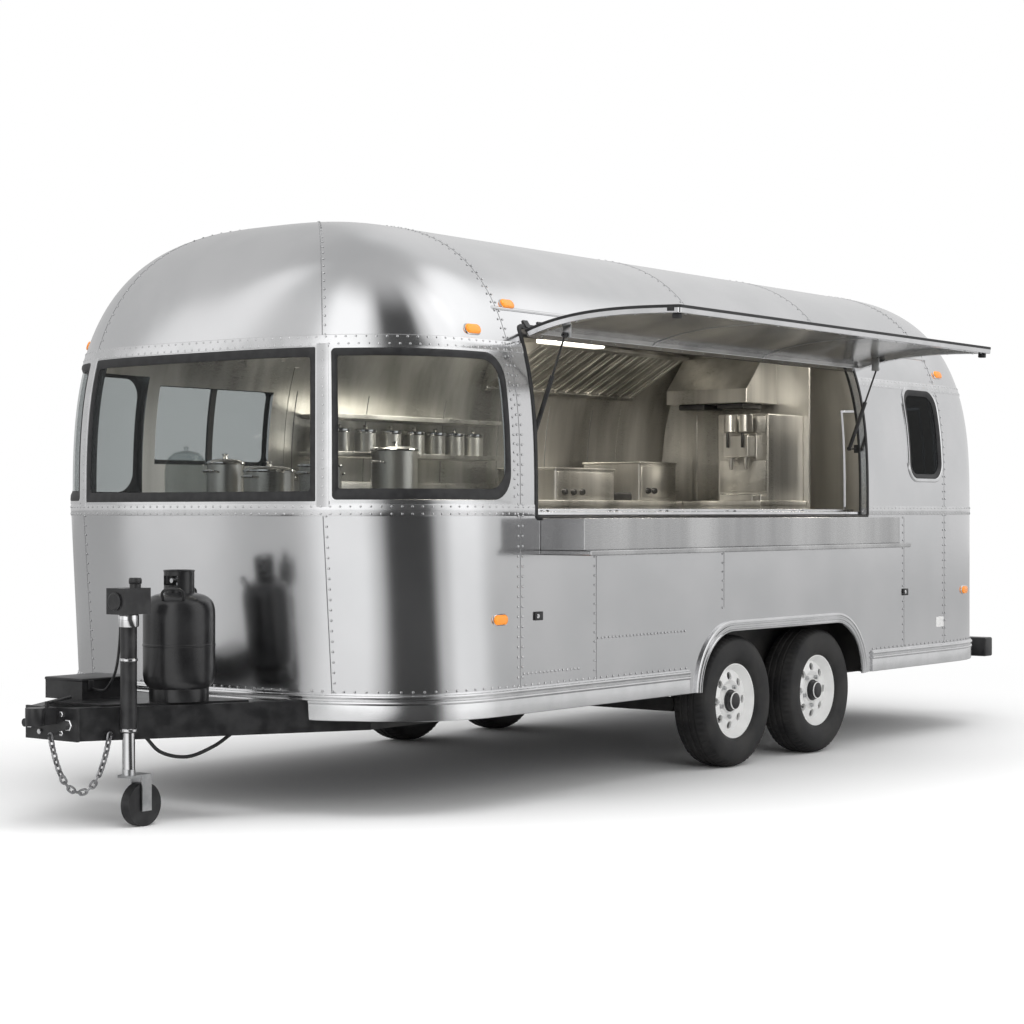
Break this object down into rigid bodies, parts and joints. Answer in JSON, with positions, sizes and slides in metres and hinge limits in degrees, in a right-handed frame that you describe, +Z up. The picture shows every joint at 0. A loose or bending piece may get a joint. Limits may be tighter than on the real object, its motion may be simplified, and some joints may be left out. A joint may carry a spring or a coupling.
{
  "type": "ice cream trailer",
  "caption": "Polished riveted aluminium ice cream trailer with rounded ends, wrap-round front windows, a lift-up serving hatch with counter, tandem wheels and a drawbar with a caster jack.",
  "frame": {"origin": "on the ground under the middle of the overall box, hatch open", "axes": "+X forward to the coupler, +Y to the serving side, +Z up"},
  "size_m": [7.08, 3.2222, 2.7],
  "materials": {
    "skin": "polished",
    "stainless": "brushed",
    "black_steel": "satin",
    "white_steel": "gloss",
    "zinc": "satin",
    "tyre": "matte",
    "caster_tread": "matte",
    "glass": "clear",
    "dark_glass": "tinted",
    "amber": "clear",
    "red": "clear",
    "floor": "sealed",
    "lamp_white": "satin"
  },
  "bodies": {
    "trailer": {"floor": "floor", "front_wall": "skin", "front_dome": "skin", "left_wall": "skin", "right_wall": "skin", "roof": "skin", "rear_wall": "skin", "rear_dome": "skin", "skirt_rail": "skin", "arch_trim": "skin", "wheel_wells": "black_steel", "front_glass": "glass", "side_windows": "dark_glass", "hatch_hinge": "zinc", "strut_brackets": "black_steel", "counter": "stainless", "counter_ledge": "stainless", "door_hinges": "zinc", "chassis": "black_steel", "drawbar": "black_steel", "coupler": "black_steel", "bumper": "black_steel", "axle_front": "black_steel", "axle_rear": "black_steel", "jack_tube": "black_steel", "jack_head": "black_steel", "gas_bottle": "black_steel", "drawbar_tray": "black_steel", "safety_chain": "zinc", "marker_lamps": "amber", "tail_lamps": "red", "worktops": "stainless", "bulkhead": "stainless", "filter_hood": "stainless", "canopy_hood": "stainless", "ice_cream_machine": "stainless", "galley_units": "stainless", "wall_shelves": "stainless", "pots": "stainless", "glass_jar": "glass", "ceiling_lamp": "lamp_white"},
    "hatch": {"hatch": "skin"},
    "strut_barrel_front": {"strut_barrel_front": "black_steel"},
    "strut_rod_front": {"strut_rod_front": "zinc"},
    "strut_barrel_rear": {"strut_barrel_rear": "black_steel"},
    "strut_rod_rear": {"strut_rod_rear": "zinc"},
    "entry_door": {"entry_door": "skin", "door_glass": "dark_glass"},
    "wheel_front_left": {"tyre_front_left": "tyre", "rim_front_left": "white_steel"},
    "wheel_front_right": {"tyre_front_right": "tyre", "rim_front_right": "white_steel"},
    "wheel_rear_left": {"tyre_rear_left": "tyre", "rim_rear_left": "white_steel"},
    "wheel_rear_right": {"tyre_rear_right": "tyre", "rim_rear_right": "white_steel"},
    "jack_leg": {"jack_leg": "zinc"},
    "caster_fork": {"caster_fork": "zinc"},
    "caster_wheel": {"caster_wheel": "caster_tread"}
  },
  "joints": [
    {"name": "hatch_swing", "type": "hinge", "parent": "trailer", "child": "hatch", "pos_m": [-0.61, 0.75661, 2.17], "axis": [1, 0, 0], "range_deg": [-88, 0]},
    {"name": "door_swing", "type": "hinge", "parent": "trailer", "child": "entry_door", "pos_m": [-3.32979, 0.34556, 1], "axis": [0, 0, -1], "range_deg": [0, 100]},
    {"name": "strut_front_turn", "type": "hinge", "parent": "trailer", "child": "strut_barrel_front", "pos_m": [1.535, 0.77187, 1.69], "axis": [1, 0, 0], "range_deg": [0, 29.66]},
    {"name": "strut_front_slide", "type": "slide", "parent": "strut_barrel_front", "child": "strut_rod_front", "axis": [0, 0.3628, 0.9319], "range_m": [-0.18595, 0]},
    {"name": "strut_rear_turn", "type": "hinge", "parent": "trailer", "child": "strut_barrel_rear", "pos_m": [-1.443, 0.77187, 1.69], "axis": [1, 0, 0], "range_deg": [0, 29.66]},
    {"name": "strut_rear_slide", "type": "slide", "parent": "strut_barrel_rear", "child": "strut_rod_rear", "axis": [0, 0.3628, 0.9319], "range_m": [-0.18595, 0]},
    {"name": "wheel_front_left_spin", "type": "hinge", "parent": "trailer", "child": "wheel_front_left", "pos_m": [-0.18, 0.71587, 0.345], "axis": [0, 1, 0], "continuous": true},
    {"name": "wheel_front_right_spin", "type": "hinge", "parent": "trailer", "child": "wheel_front_right", "pos_m": [-0.18, -1.46813, 0.345], "axis": [0, 1, 0], "continuous": true},
    {"name": "wheel_rear_left_spin", "type": "hinge", "parent": "trailer", "child": "wheel_rear_left", "pos_m": [-1.04, 0.71587, 0.345], "axis": [0, 1, 0], "continuous": true},
    {"name": "wheel_rear_right_spin", "type": "hinge", "parent": "trailer", "child": "wheel_rear_right", "pos_m": [-1.04, -1.46813, 0.345], "axis": [0, 1, 0], "continuous": true},
    {"name": "jack_slide", "type": "slide", "parent": "trailer", "child": "jack_leg", "axis": [0, 0, 1], "range_m": [0, 0.105]},
    {"name": "caster_swivel", "type": "hinge", "parent": "jack_leg", "child": "caster_fork", "pos_m": [3.24, -0.08613, 0.24], "axis": [0, 0, 1], "continuous": true},
    {"name": "caster_spin", "type": "hinge", "parent": "caster_fork", "child": "caster_wheel", "pos_m": [3.17, -0.08613, 0.092], "axis": [0, 1, 0], "continuous": true}
  ],
  "couplings": [
    {"joint": "strut_front_turn", "follows": "hatch_swing", "ratio": -0.33647},
    {"joint": "strut_front_slide", "follows": "hatch_swing", "m_per_rad": 0.12087},
    {"joint": "strut_rear_turn", "follows": "hatch_swing", "ratio": -0.33647},
    {"joint": "strut_rear_slide", "follows": "hatch_swing", "m_per_rad": 0.12087}
  ]
}
